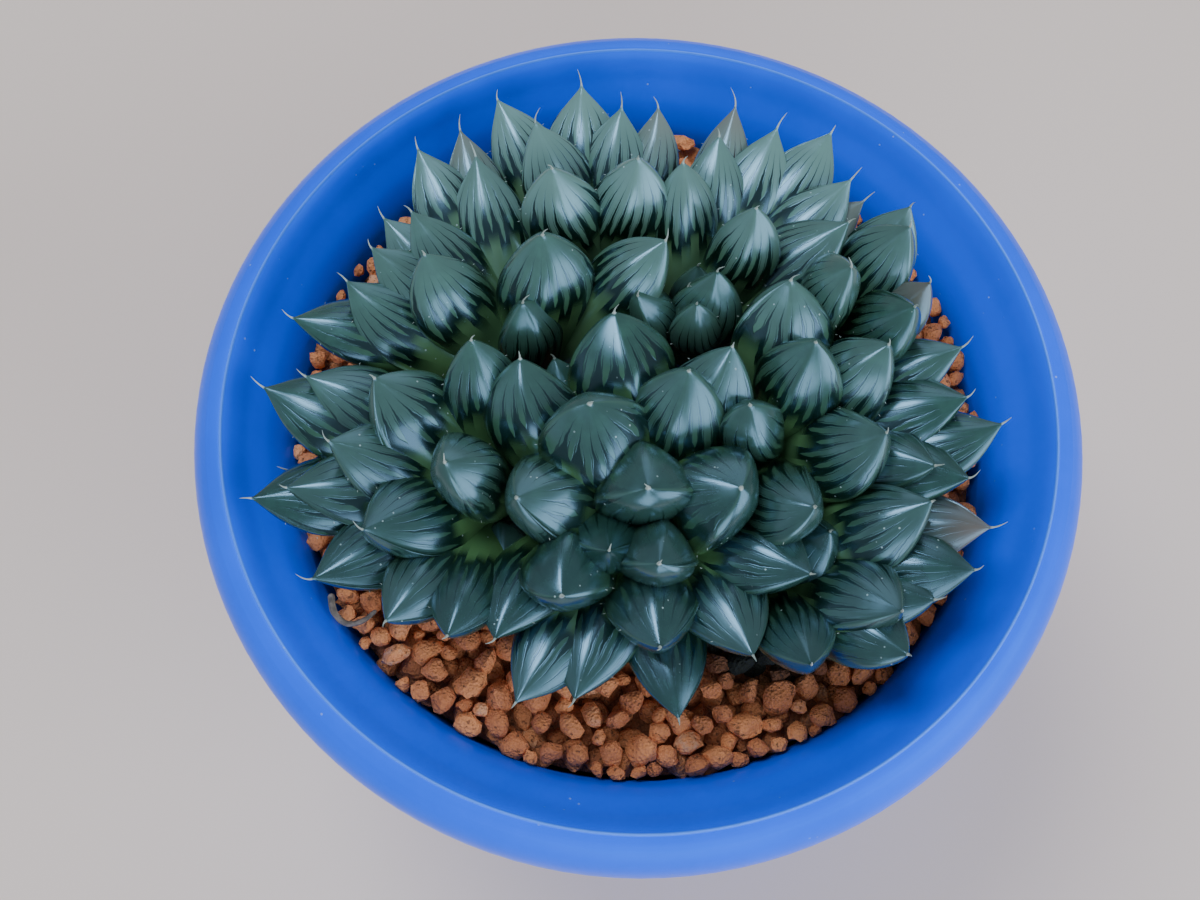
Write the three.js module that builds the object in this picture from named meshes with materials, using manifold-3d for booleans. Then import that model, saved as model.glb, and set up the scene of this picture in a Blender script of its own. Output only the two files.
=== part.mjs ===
// Potted haworthia obtusa: a clump of eight heads of fat, pointed leaves in a
// round blue plastic pot with a rolled rim, filled with coarse fired-clay grains.
// Millimetres, +Z up. The pot's axis is the Z axis and its foot stands on z = 0.

import * as THREE from 'three';
import Module from 'manifold-3d';

const wasm = await Module();
wasm.setup();

// Pot
const POT_HEIGHT = 94;
const RIM_RADIUS = 60;
const CROWN_RADIUS = 55.3;
const FOOT_RADIUS = 41;
const FLOOR_TOP = 5;
const FLOOR_UNDERSIDE = 2.6;
const WALL = 1.8;
const SKIRT_DEPTH = 9;
const POT_SEGMENTS = 40;
const CENTRE_DRAIN_RADIUS = 6;
const RING_DRAIN_RADIUS = 3.5;
const RING_DRAIN_COUNT = 6;
const RING_DRAIN_AT = 26;

// Soil
const GAP = 0.35;
const SOIL_TOP = POT_HEIGHT - 13.5;
const GRAIN_RINGS = [11.8, 18.4, 25, 31.4, 37.6, 43.4];
const GRAIN_PITCH = 6.7;
const GRAIN_RADIUS = 3.5;
const GRAIN_TOP = POT_HEIGHT - 8.6;
const GRAIN_TOP_BY_STEM = POT_HEIGHT - 10.8;

// Dried root lying curled on the grains at the left
const DRIED_ROOT_RADIUS = 0.55;
const DRIED_ROOT_Z = GRAIN_TOP + GAP + DRIED_ROOT_RADIUS;
const DRIED_ROOT_PATH = [
  [-40.5, -24.2],
  [-40, -26.6],
  [-38.3, -28.2],
  [-36.2, -28],
  [-34.4, -26.4],
];

// Heads
const ROOT_Z = POT_HEIGHT - 7;
const STEM_BOTTOM = POT_HEIGHT - 25;
const STEM_RADIUS = 4.5;
const STEM_SIDES = 12;
const TIP_Z = POT_HEIGHT + 18.5;
const CLUMP_FALL = 6.5;
const HEAD_FALL = 5;
const CLUMP_REACH = 48;
const HEAD_REACH = 25;
const BLADE_MAX = 29;
const THICKNESS_RATIO = 0.66;
const CLEARANCE = 0.45;

// Each head: where its stem stands, then its leaves as tip x, tip y and width, then
// where needed how much lower than its neighbours its tip stays, the way that it
// points, in degrees from +X, where that isn't straight off the stem, and how blunt
// its end is where it isn't as its side of the head has it.
const HEADS = [
  {
    name: 'head_front',
    stem: [0, -14],
    leaves: [
      [0.5, -17.5, 13], [-6.4, -7, 15.2, 0, 97, 0.9], [5.5, -2.5, 13.5, 0, 70, 0.5],
      [11.5, -17, 14.5, 0, 335, 0.9], [-15, -18, 14, 0, 207], [-15, 0, 13.5, 0, 97, 0.45],
      [-3.5, 6, 15, 0, 97, 0.55], [11, 1.5, 13, 0, 62, 0.3], [1.8, -26, 10.5, 0, 258],
      [-4, -24.2, 12.5, 1.5, 278, 0.1], [-9.5, -29.4, 12.5, 0, 277, 0.85], [2, -35, 12.5],
      [13, -35.5, 12, 0, 290], [20, -26, 12.5], [4.5, -42, 11, 5], [-8, -40, 12, 4],
      [-15, -40.5, 11, 3], [-11, 2.5, 9, 6, 110, 0.4], [-17.5, -33.5, 11.5, 1, 256],
    ],
  },
  {
    name: 'head_middle_back',
    stem: [7, 11],
    leaves: [
      [9.5, 12.5, 10, 4, 80], [6, 12, 7, 8], [14.5, 20.5, 10, 0, 88, 0.45], [-0.5, 10, 9, 6],
      [5.4, 28, 9.5, 0, 95, 0.4], [10.5, 34, 10, 0, 82, 0.2], [13, 40, 8.5], [18.5, 36.5, 10.5],
      [7.5, 16, 7, 9], [7, 9, 8, 6.5, 100, 0.3], [26, 36.5, 10.5], [28, 28.5, 10.5],
      [30, 26.5, 10, 2], [27, 21, 11.5],
    ],
  },
  {
    name: 'head_left',
    stem: [-18, -12],
    leaves: [
      [-23.5, -14, 12], [-21, 2, 11, 0, 100, 0.35], [-33, -2, 13.5, 0, 146, 0.3],
      [-33.5, -21, 13, 0, 210, 0], [-38.5, -9.5, 11.5], [-17, -22.5, 8, 12],
      [-23, -33.5, 10.5, 0, 250], [-30.5, -31.5, 11], [-40, -26, 11], [-44, -14.5, 11.5],
      [-48.5, -15.5, 11.5], [-44.5, -11, 10.5, 4], [-42.5, 0, 11.5, 0, 163], [-48, -1, 12],
    ],
  },
  {
    name: 'head_right',
    stem: [17, -5],
    leaves: [
      [13, -6, 9.5, 3, 95, 0.8], [21, 1.5, 12, 0, 70, 0.45], [18.5, 10.5, 14, 0, 84, 0.4],
      [30.5, 2.5, 12, 0, 33, 0.35], [29.4, -9.3, 13, 0, 10, 0.1], [20.3, -18.8, 12.5, 0, 345],
      [41, -2.5, 12], [41, 4.5, 10, 0, 14], [45.5, -5.5, 11.5, 0, 22], [40.5, -13, 12],
      [36, -12, 10.5, 1, 335],
    ],
  },
  {
    name: 'head_back_left',
    stem: [-15, 6],
    leaves: [
      [-15, 8.5, 9.5, 5, 122, 0.4], [-12.5, 16, 13.5, 0, 98, 0.45], [3, 16.5, 11.5, 0, 30, 0.4],
      [-27.5, 14.5, 12, 0, 120, 0.3], [-22, 31.5, 11], [-30, 22.5, 10.5], [-30, 33.5, 10.5],
      [-24.5, 37, 9, 1], [-34, 23, 10.5, 1], [-35, 17.5, 10.5], [-38, 13, 11.5, 0, 140],
      [-45, 8.5, 10.5],
    ],
  },
  {
    name: 'head_back',
    stem: [-6, 20],
    leaves: [
      [-11.5, 26, 12, 0, 98, 0.3], [-0.5, 27.5, 11.5, 0, 84, 0.4], [-14, 35, 10.5],
      [-2.5, 39.5, 10.5, 2], [2.5, 40, 9, 2, 92], [-19.5, 41.5, 10.5], [-8, 44, 12, 1],
    ],
  },
  {
    name: 'head_front_right',
    stem: [17, -22],
    leaves: [
      [23, -20, 11, 7], [35, -17, 12], [30.5, -30.5, 12, 0, 318, 0],
      [19.5, -37, 10.5, 0, 280, 0], [40.5, -24.5, 11.5, 0, 348], [43, -19, 10.5, 0, 345],
      [31.5, -35, 10.5, 1], [35.5, -28, 10.5, 3],
    ],
  },
  {
    name: 'head_back_right',
    stem: [25, 12],
    leaves: [
      [26, 12, 10.5], [34, 7.5, 11.5, 0, 8], [34.5, 19.5, 11.5], [35, 23, 10.5],
      [37, 12.5, 9, 2, 35],
    ],
  },
];

// A leaf from its root to its tip: distance from the tip along the blade, then
// width, height of the crown and depth of the belly as shares of the full size,
// first for a leaning outer leaf, then for the blunt end of an upright inner one.
const STATIONS = [
  { along: 1, keen: [0.5, 0.66, -0.12], full: [0.45, 0.66, -0.12] },
  { along: 0.6, keen: [0.91, 0.83, 0.17], full: [0.79, 0.8, 0.18] },
  { along: 0.34, keen: [1, 0.79, 0.27], full: [0.98, 0.94, 0.32] },
  { along: 0.14, keen: [0.64, 0.48, 0.24], full: [0.89, 0.86, 0.34] },
  { along: 0.04, keen: [0.19, 0.15, 0.09], full: [0.47, 0.38, 0.21] },
];

// A leaf's cross-section: across (share of the half width), then the share of the
// way from the margins up to the crown, or, where negative, down to the belly.
const SECTION = [
  [1, 0],
  [0.66, 0.56],
  [0, 1],
  [-0.66, 0.56],
  [-1, 0],
  [-0.66, -0.62],
  [0, -1],
  [0.66, -0.62],
];
const AWN = 2.2;

function chance(n) {
  const s = Math.sin(n * 12.9898 + 4.1) * 43758.5453;
  return s - Math.floor(s);
}

function clamp01(n) {
  return Math.min(Math.max(n, 0), 1);
}

function toManifold(geometry) {
  const g = geometry.index ? geometry.toNonIndexed() : geometry;
  const position = g.getAttribute('position');
  const keys = new Map();
  const vertices = [];
  const triangles = [];
  for (let i = 0; i < position.count; i += 3) {
    const corner = [];
    for (let j = 0; j < 3; j += 1) {
      const p = [position.getX(i + j), position.getY(i + j), position.getZ(i + j)];
      const key = p.map((c) => Math.round(c * 1e4)).join(',');
      if (!keys.has(key)) {
        keys.set(key, vertices.length / 3);
        vertices.push(...p);
      }
      corner.push(keys.get(key));
    }
    if (corner[0] !== corner[1] && corner[1] !== corner[2] && corner[0] !== corner[2]) {
      triangles.push(...corner);
    }
  }
  return new wasm.Manifold(new wasm.Mesh({
    numProp: 3,
    vertProperties: new Float32Array(vertices),
    triVerts: new Uint32Array(triangles),
  }));
}

function toGeometry(solid) {
  const mesh = solid.getMesh();
  const flat = new Float32Array(mesh.triVerts.length * 3);
  for (let i = 0; i < mesh.triVerts.length; i += 1) {
    for (let j = 0; j < 3; j += 1) {
      flat[i * 3 + j] = mesh.vertProperties[mesh.triVerts[i] * mesh.numProp + j];
    }
  }
  const geometry = new THREE.BufferGeometry();
  geometry.setAttribute('position', new THREE.BufferAttribute(flat, 3));
  geometry.computeVertexNormals();
  return geometry;
}

function largest(solid) {
  const pieces = solid.decompose();
  pieces.sort((a, b) => b.volume() - a.volume());
  return pieces[0];
}

// Turns a profile of [radius, z] pairs into a lathed solid about Z.
function turned(profile, segments) {
  const points = profile.map(([r, z]) => new THREE.Vector2(r, z)).reverse();
  const geometry = new THREE.LatheGeometry(points, segments);
  geometry.rotateX(Math.PI / 2);
  return geometry;
}

function post(x, y, z0, z1, radius, sides) {
  const geometry = new THREE.CylinderGeometry(radius, radius, z1 - z0, sides);
  geometry.rotateX(Math.PI / 2);
  geometry.translate(x, y, (z0 + z1) / 2);
  return toManifold(geometry);
}

// Height of a leaf's tip: highest in the middle of the clump, falling toward the
// outside of the clump and toward the outside of its own head.
function tipHeight(stem, leaf) {
  const [x, y] = leaf;
  const fromAxis = Math.hypot(x, y) / CLUMP_REACH;
  const fromStem = Math.min(Math.hypot(x - stem[0], y - stem[1]) / HEAD_REACH, 1);
  const lower = leaf[3] ?? 0;
  return TIP_Z - CLUMP_FALL * fromAxis ** 2 - HEAD_FALL * fromStem ** 2 - lower;
}

// One leaf as a ring-by-ring skin from its root at the stem out and up to its tip.
function leafGeometry(stem, leaf, seed, grow) {
  const root = new THREE.Vector3(stem[0], stem[1], ROOT_Z);
  const tip = new THREE.Vector3(leaf[0], leaf[1], tipHeight(stem, leaf));
  const away = new THREE.Vector3(tip.x - root.x, tip.y - root.y, 0);
  const reach = away.length();
  const facing = away.clone().normalize();
  if (leaf.length > 4) {
    const turn = THREE.MathUtils.degToRad(leaf[4]);
    facing.set(Math.cos(turn), Math.sin(turn), 0);
  }
  const upright = clamp01((22 - reach) / 13);
  const blunt = leaf[5] ?? clamp01((26 - reach) / 13) * clamp01(0.35 - 0.75 * facing.y);
  const bend = tip.clone().addScaledVector(facing, -reach * (0.38 - 0.32 * upright));
  bend.z = root.z + (tip.z - root.z) * 0.3;
  const leaving = new THREE.Vector3(bend.x - root.x, bend.y - root.y, 0).normalize();
  const curve = new THREE.QuadraticBezierCurve3(root, bend, tip);
  const length = curve.getLength();
  const blade = Math.min(length, BLADE_MAX);
  const roll = (chance(seed) - 0.5) * 0.3;
  const thickness = leaf[2] * THICKNESS_RATIO;
  const rings = [];
  STATIONS.forEach(({ along, keen, full }) => {
    const at = along === 1 ? 0 : 1 - (along * blade) / length;
    const [wide, crown, belly] = keen.map((k, i) => k + (full[i] - k) * blunt);
    const margin = crown - (crown + belly) * (0.4 + 0.3 * blunt);
    const centre = curve.getPointAt(at);
    const tangent = curve.getTangentAt(at);
    const level = leaving.clone().lerp(facing, at).normalize();
    const across = new THREE.Vector3(-level.y, level.x, 0).applyAxisAngle(tangent, roll);
    const up = new THREE.Vector3().crossVectors(tangent, across).normalize();
    const half = (leaf[2] * wide) / 2 + grow;
    const ring = SECTION.map(([u, share]) => {
      const span = share > 0 ? crown - margin : margin + belly;
      return centre.clone()
        .addScaledVector(across, u * half)
        .addScaledVector(up, (margin + share * span) * thickness + share * grow);
    });
    rings.push(ring);
  });
  const point = tip.clone().addScaledVector(curve.getTangentAt(1), AWN + grow);
  const corners = [];
  const n = SECTION.length;
  for (let i = 0; i < rings.length - 1; i += 1) {
    for (let j = 0; j < n; j += 1) {
      const a = rings[i][j];
      const b = rings[i][(j + 1) % n];
      const c = rings[i + 1][(j + 1) % n];
      const d = rings[i + 1][j];
      corners.push(a, b, c, a, c, d);
    }
  }
  for (let j = 0; j < n; j += 1) {
    corners.push(rings[rings.length - 1][j], rings[rings.length - 1][(j + 1) % n], point);
  }
  for (let j = 1; j < n - 1; j += 1) {
    corners.push(rings[0][0], rings[0][j + 1], rings[0][j]);
  }
  const geometry = new THREE.BufferGeometry().setFromPoints(corners);
  return geometry;
}

function headSolid(head, order, grow) {
  const parts = head.leaves.map((leaf, i) => {
    const seed = order * 40 + i + 1;
    const solid = toManifold(leafGeometry(head.stem, leaf, seed, grow));
    return solid;
  });
  parts.push(post(head.stem[0], head.stem[1], STEM_BOTTOM - grow, ROOT_Z + 3,
    STEM_RADIUS + grow, STEM_SIDES));
  return wasm.Manifold.union(parts);
}

function potProfile() {
  const h = POT_HEIGHT;
  const skirt = h - SKIRT_DEPTH;
  return [
    [0, FLOOR_TOP],
    [37, FLOOR_TOP],
    [47.5, h - 14],
    [48.4, h - 9.5],
    [50, h - 6.6],
    [52.6, h - 3.6],
    [54.4, h - 0.8],
    [CROWN_RADIUS, h],
    [57.4, h - 0.8],
    [59.2, h - 2.2],
    [RIM_RADIUS, h - 4.2],
    [RIM_RADIUS, skirt],
    [RIM_RADIUS - 1.6, skirt],
    [RIM_RADIUS - 1.8, h - 4.2],
    [55.3, h - 2],
    [51.6, h - 7.4],
    [47.5 + WALL, h - 14],
    [FOOT_RADIUS, 1],
    [FOOT_RADIUS - 1, 0],
    [FOOT_RADIUS - 3.2, 0],
    [FOOT_RADIUS - 3.6, FLOOR_UNDERSIDE],
    [0, FLOOR_UNDERSIDE],
  ];
}

function potSolid() {
  let pot = toManifold(turned(potProfile(), POT_SEGMENTS));
  pot = pot.subtract(post(0, 0, 0, FLOOR_TOP + 2, CENTRE_DRAIN_RADIUS, 24));
  for (let i = 0; i < RING_DRAIN_COUNT; i += 1) {
    const angle = (i * 2 * Math.PI) / RING_DRAIN_COUNT;
    const x = RING_DRAIN_AT * Math.cos(angle);
    const y = RING_DRAIN_AT * Math.sin(angle);
    pot = pot.subtract(post(x, y, 0, FLOOR_TOP + 2, RING_DRAIN_RADIUS, 16));
  }
  return pot;
}

// One soil grain: a lumpy five-sided stone, narrower at its top, set a little askew.
function grainSolid(x, y, top, radius, seed) {
  const geometry = new THREE.CylinderGeometry(radius * 0.66, radius, radius * 1.5, 5);
  geometry.rotateX(Math.PI / 2);
  geometry.scale(0.85 + 0.25 * chance(seed + 0.1), 0.85 + 0.25 * chance(seed + 0.3), 1);
  geometry.rotateX((chance(seed + 0.5) - 0.5) * 0.7);
  geometry.rotateZ(chance(seed + 0.7) * 6);
  geometry.computeBoundingBox();
  geometry.translate(x, y, top - geometry.boundingBox.max.z);
  return toManifold(geometry);
}

function stemDistance(x, y) {
  return Math.min(...HEADS.map((head) => Math.hypot(x - head.stem[0], y - head.stem[1])));
}

function soilSolid() {
  const body = toManifold(turned([
    [0, SOIL_TOP],
    [47.5 - GAP - 0.4, SOIL_TOP],
    [37 - GAP, FLOOR_TOP + GAP],
    [0, FLOOR_TOP + GAP],
  ], POT_SEGMENTS));
  const grains = [];
  let seed = 300;
  GRAIN_RINGS.forEach((ring, row) => {
    const count = Math.round((2 * Math.PI * ring) / GRAIN_PITCH);
    for (let i = 0; i < count; i += 1) {
      seed += 1;
      const angle = ((i + 0.5 * (row % 2)) * 2 * Math.PI) / count;
      const at = ring - chance(seed);
      const radius = GRAIN_RADIUS * (0.82 + 0.26 * chance(seed + 0.2));
      const x = at * Math.cos(angle);
      const y = at * Math.sin(angle);
      const near = stemDistance(x, y) < 11;
      const top = (near ? GRAIN_TOP_BY_STEM : GRAIN_TOP) - 0.8 * chance(seed + 0.4);
      grains.push(grainSolid(x, y, top, radius, seed));
    }
  });
  let soil = wasm.Manifold.union([body, ...grains]);
  HEADS.forEach((head) => {
    soil = soil.subtract(post(head.stem[0], head.stem[1], STEM_BOTTOM - GAP, POT_HEIGHT,
      STEM_RADIUS + GAP, STEM_SIDES));
  });
  return largest(soil);
}

function driedRootGeometry() {
  const path = new THREE.CatmullRomCurve3(
    DRIED_ROOT_PATH.map(([x, y]) => new THREE.Vector3(x, y, DRIED_ROOT_Z)),
  );
  const outline = new THREE.Shape();
  outline.absarc(0, 0, DRIED_ROOT_RADIUS, 0, 2 * Math.PI, false);
  return new THREE.ExtrudeGeometry(outline, {
    steps: 12, curveSegments: 8, bevelEnabled: false, extrudePath: path,
  });
}

const blueResin = new THREE.MeshStandardMaterial({
  color: 0x1258b4, roughness: 0.38, metalness: 0,
});
const firedClay = new THREE.MeshStandardMaterial({
  color: 0x9a5a35, roughness: 0.95, metalness: 0,
});
const leafSkin = new THREE.MeshStandardMaterial({
  color: 0x2b4a3c, roughness: 0.3, metalness: 0,
});
const driedRootBark = new THREE.MeshStandardMaterial({
  color: 0x6f6058, roughness: 0.9, metalness: 0,
});

const group = new THREE.Group();
group.name = 'potted_haworthia_obtusa';

function addPiece(name, geometry, material) {
  const mesh = new THREE.Mesh(geometry, material);
  mesh.name = name;
  group.add(mesh);
}

addPiece('pot', toGeometry(potSolid()), blueResin);
addPiece('soil', toGeometry(soilSolid()), firedClay);

addPiece('dried_root', driedRootGeometry(), driedRootBark);

let taken = null;
HEADS.forEach((head, order) => {
  let solid = headSolid(head, order, 0);
  if (taken) {
    solid = largest(solid.subtract(taken));
  }
  const grown = headSolid(head, order, CLEARANCE);
  taken = taken ? taken.add(grown) : grown;
  addPiece(head.name, toGeometry(solid), leafSkin);
});

export default group;
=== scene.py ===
"""Potted haworthia obtusa, dressed for rendering.

A round blue plastic pot holds coarse fired-clay grains and a clump of eight
heads of fat, windowed leaves. Lengths in this file are millimetres unless a
name says otherwise; they become metres as each mesh is finished.
"""

import math
import random

import bmesh
import bpy
from mathutils import Matrix, Vector, noise


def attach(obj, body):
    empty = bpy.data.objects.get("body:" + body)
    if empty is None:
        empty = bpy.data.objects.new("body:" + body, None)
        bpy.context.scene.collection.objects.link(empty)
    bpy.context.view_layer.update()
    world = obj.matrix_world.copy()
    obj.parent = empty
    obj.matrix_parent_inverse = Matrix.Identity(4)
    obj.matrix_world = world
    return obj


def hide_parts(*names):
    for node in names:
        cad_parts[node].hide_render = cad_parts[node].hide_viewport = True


bl_info = {
    "name": "Potted Haworthia Obtusa",
    "version": (1, 0, 0),
    "blender": (4, 5, 0),
    "location": "View3D > Sidebar > Haworthia",
    "description": "Dresses a potted haworthia: pot, clay grains, leaf heads and stage",
    "category": "Object",
}

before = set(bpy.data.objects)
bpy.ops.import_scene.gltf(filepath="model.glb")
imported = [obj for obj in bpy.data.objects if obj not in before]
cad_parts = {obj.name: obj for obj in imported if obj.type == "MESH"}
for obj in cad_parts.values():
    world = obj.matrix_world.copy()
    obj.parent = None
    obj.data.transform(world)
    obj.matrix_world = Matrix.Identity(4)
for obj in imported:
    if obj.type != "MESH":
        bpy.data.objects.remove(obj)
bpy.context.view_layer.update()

MM = 0.001
BODY = "root"

# Each head: the node it stands for, where its stem stands, then its leaves as
# tip x, tip y and width, then where needed how much lower its tip stays, the way
# that it points, in degrees from +X, where that isn't straight off the stem, and
# how blunt its end is where it isn't as its side of the head has it.
HEADS = {
    "head_front": ((0, -14), [
        (0.5, -17.5, 13), (-6.4, -7, 15.2, 0, 97, 0.9), (5.5, -2.5, 13.5, 0, 70, 0.5),
        (11.5, -17, 14.5, 0, 335, 0.9), (-15, -18, 14, 0, 207), (-15, 0, 13.5, 0, 97, 0.45),
        (-3.5, 6, 15, 0, 97, 0.55), (11, 1.5, 13, 0, 62, 0.3), (1.8, -26, 10.5, 0, 258),
        (-4, -24.2, 12.5, 1.5, 278, 0.1), (-9.5, -29.4, 12.5, 0, 277, 0.85), (2, -35, 12.5),
        (13, -35.5, 12, 0, 290), (20, -26, 12.5), (4.5, -42, 11, 5), (-8, -40, 12, 4),
        (-15, -40.5, 11, 3), (-11, 2.5, 9, 6, 110, 0.4), (-17.5, -33.5, 11.5, 1, 256),
    ]),
    "head_middle_back": ((7, 11), [
        (9.5, 12.5, 10, 4, 80), (6, 12, 7, 8), (14.5, 20.5, 10, 0, 88, 0.45), (-0.5, 10, 9, 6),
        (5.4, 28, 9.5, 0, 95, 0.4), (10.5, 34, 10, 0, 82, 0.2), (13, 40, 8.5),
        (18.5, 36.5, 10.5), (7.5, 16, 7, 9), (7, 9, 8, 6.5, 100, 0.3), (26, 36.5, 10.5),
        (28, 28.5, 10.5), (30, 26.5, 10, 2), (27, 21, 11.5),
    ]),
    "head_left": ((-18, -12), [
        (-23.5, -14, 12), (-21, 2, 11, 0, 100, 0.35), (-33, -2, 13.5, 0, 146, 0.3),
        (-33.5, -21, 13, 0, 210, 0), (-38.5, -9.5, 11.5), (-17, -22.5, 8, 12),
        (-23, -33.5, 10.5, 0, 250), (-30.5, -31.5, 11), (-40, -26, 11), (-44, -14.5, 11.5),
        (-48.5, -15.5, 11.5), (-44.5, -11, 10.5, 4), (-42.5, 0, 11.5, 0, 163), (-48, -1, 12),
    ]),
    "head_right": ((17, -5), [
        (13, -6, 9.5, 3, 95, 0.8), (21, 1.5, 12, 0, 70, 0.45), (18.5, 10.5, 14, 0, 84, 0.4),
        (30.5, 2.5, 12, 0, 33, 0.35), (29.4, -9.3, 13, 0, 10, 0.1), (20.3, -18.8, 12.5, 0, 345),
        (41, -2.5, 12), (41, 4.5, 10, 0, 14), (45.5, -5.5, 11.5, 0, 22), (40.5, -13, 12),
        (36, -12, 10.5, 1, 335),
    ]),
    "head_back_left": ((-15, 6), [
        (-15, 8.5, 9.5, 5, 122, 0.4), (-12.5, 16, 13.5, 0, 98, 0.45),
        (3, 16.5, 11.5, 0, 30, 0.4), (-27.5, 14.5, 12, 0, 120, 0.3), (-22, 31.5, 11),
        (-30, 22.5, 10.5), (-30, 33.5, 10.5), (-24.5, 37, 9, 1), (-34, 23, 10.5, 1),
        (-35, 17.5, 10.5), (-38, 13, 11.5, 0, 140), (-45, 8.5, 10.5),
    ]),
    "head_back": ((-6, 20), [
        (-11.5, 26, 12, 0, 98, 0.3), (-0.5, 27.5, 11.5, 0, 84, 0.4), (-14, 35, 10.5),
        (-2.5, 39.5, 10.5, 2), (2.5, 40, 9, 2, 92), (-19.5, 41.5, 10.5), (-8, 44, 12, 1),
    ]),
    "head_front_right": ((17, -22), [
        (23, -20, 11, 7), (35, -17, 12), (30.5, -30.5, 12, 0, 318, 0),
        (19.5, -37, 10.5, 0, 280, 0), (40.5, -24.5, 11.5, 0, 348), (43, -19, 10.5, 0, 345),
        (31.5, -35, 10.5, 1), (35.5, -28, 10.5, 3),
    ]),
    "head_back_right": ((25, 12), [
        (26, 12, 10.5), (34, 7.5, 11.5, 0, 8), (34.5, 19.5, 11.5), (35, 23, 10.5),
        (37, 12.5, 9, 2, 35),
    ]),
}

# Tips of the oldest leaves, which have turned grey-brown.
RUSTY = ((-24.5, 37), (2.5, 40), (13, 40), (37, 12.5), (30, 26.5), (43, -19))

# How a blade swells and closes from its root to its tip: distance from the tip
# as a share of the blade, then as shares of the leaf's full size its width, the
# height of its crown and the depth of its belly from the middle line, and how
# far the crown rises to a ridge instead of a round.
BLADE = [
    (1.0, 0.5, 0.66, -0.12, 0.0),
    (0.84, 0.69, 0.75, 0.02, 0.0),
    (0.68, 0.85, 0.82, 0.13, 0.0),
    (0.54, 0.95, 0.84, 0.2, 0.1),
    (0.43, 0.995, 0.83, 0.25, 0.25),
    (0.34, 1.0, 0.79, 0.27, 0.4),
    (0.26, 0.94, 0.71, 0.28, 0.55),
    (0.19, 0.79, 0.59, 0.27, 0.65),
    (0.13, 0.6, 0.45, 0.23, 0.75),
    (0.08, 0.38, 0.29, 0.16, 0.8),
    (0.045, 0.21, 0.165, 0.1, 0.85),
    (0.02, 0.1, 0.08, 0.05, 0.85),
    (0.006, 0.04, 0.035, 0.022, 0.85),
]

# The same stations for the blunt end of an upright inner leaf, without the first
# column.
BLUNT = [
    (0.45, 0.66, -0.12, 0.0),
    (0.57, 0.7, 0.03, 0.0),
    (0.71, 0.76, 0.14, 0.1),
    (0.83, 0.82, 0.22, 0.2),
    (0.92, 0.88, 0.28, 0.3),
    (0.98, 0.94, 0.32, 0.4),
    (1.0, 0.98, 0.345, 0.5),
    (0.97, 0.96, 0.355, 0.58),
    (0.87, 0.84, 0.335, 0.62),
    (0.7, 0.63, 0.285, 0.65),
    (0.5, 0.42, 0.22, 0.65),
    (0.29, 0.23, 0.135, 0.65),
    (0.12, 0.09, 0.06, 0.65),
]

# A leaf's cross-section, once round from its right margin over the upper face:
# across as a share of the half width, then how far from the margins' height to
# the crown, when round and when ridged, or as a negative share to the belly.
SECTION = [
    (1.0, 0.0, 0.0), (0.9, 0.42, 0.17), (0.68, 0.74, 0.4), (0.36, 0.94, 0.7),
    (0.0, 1.0, 1.0), (-0.36, 0.94, 0.7), (-0.68, 0.74, 0.4), (-0.9, 0.42, 0.17),
    (-1.0, 0.0, 0.0), (-0.91, -0.27, -0.27), (-0.67, -0.62, -0.6), (-0.33, -0.88, -0.86),
    (0.0, -1.0, -1.0), (0.33, -0.88, -0.86), (0.67, -0.62, -0.6), (0.91, -0.27, -0.27),
]

# The section's corners at the margins, on the ridge and on the keel.
MARGINS = (0, 8)
RIDGE = 4
KEEL = 12

# The awn: its rings as shares of its length, and its radius at both ends.
AWN_STEPS = (0.08, 0.3, 0.62, 1.0)
AWN_ROOT_RADIUS = 0.12
AWN_END_RADIUS = 0.022

# The longest blade, the steps that a leaf's middle line is measured in, and the
# radius of a stem.
BLADE_MAX = 29
LINE_STEPS = 80
STEM_RADIUS = 4.2

# The pot's turning and its drain holes.
POT_STEPS = 120
MIDDLE_DRAIN = 6.0
RING_DRAIN = 3.5
RING_REACH = 26

# How far out the grains lie, how near a stem they sit lower and how near one
# they get painted shade, and how far under the rim the bed and the top layer come.
GRAIN_REACH = 48.3
WALL_REACH = 47.85
BY_STEM = 9.5
SHADED = 15.5
BED_DEPTHS = (13.4, 12.9)
TOP_DEPTHS = (10.4, 8.7)

# Painted shade in the crevices of the bed and on the core under it.
BED_SHADE = 0.35
CORE_SHADE = 0.6

# The camera that was fitted to the pot's rim: where it stands and what it looks
# at, from the middle of the rim, and how far it is turned, in degrees.
EYE = (-5.14, -67.56, 172.81)
MARK = (-5.14, -6.65, 0.0)
CAMERA_ROLL = 0.36

# Each softbox: its name, where it hangs in metres, its width in metres and its
# share of the lamp power.
SOFTBOXES = (
    ("softbox_over", (-0.22, 0.2, 0.78), 0.36, 1.0),
    ("softbox_back", (0.1, 0.95, 0.6), 0.7, 0.3),
    ("softbox_left", (-0.95, -0.1, 0.55), 0.7, 0.1),
    ("softbox_right", (0.9, -0.5, 0.55), 0.9, 2.3),
    ("softbox_front", (0.1, -1.0, 0.55), 0.9, 2.0),
)
LAMP_COLOUR = (0.68, 0.85, 1.0)
SKY_COLOUR = (0.78, 0.89, 1.0, 1.0)

# What a leaf's vertices hold for its paint: across and along the blade, upper or
# under face, a draw for tint, how far painted sheen and a random tone pale it, how
# rusty it is, how far its veins clear and how blunt it is.
LEAF_LAYERS = ("across", "along", "face", "tint", "pale", "rust", "clear", "blunt")


class PotSettings(bpy.types.PropertyGroup):
    """Sizes and colour of the pot."""

    height: bpy.props.FloatProperty(
        name="Height", description="Foot to crown of the rim, in millimetres", default=94.0)
    rim_radius: bpy.props.FloatProperty(
        name="Rim radius", description="Widest radius of the rim, in millimetres", default=60.0)
    foot_radius: bpy.props.FloatProperty(
        name="Foot radius", description="Outside of the foot ring, in millimetres", default=41.0)
    colour: bpy.props.FloatVectorProperty(
        name="Colour", description="Blue of the moulded plastic", subtype="COLOR",
        default=(0.0, 0.112, 1.0))


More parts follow.
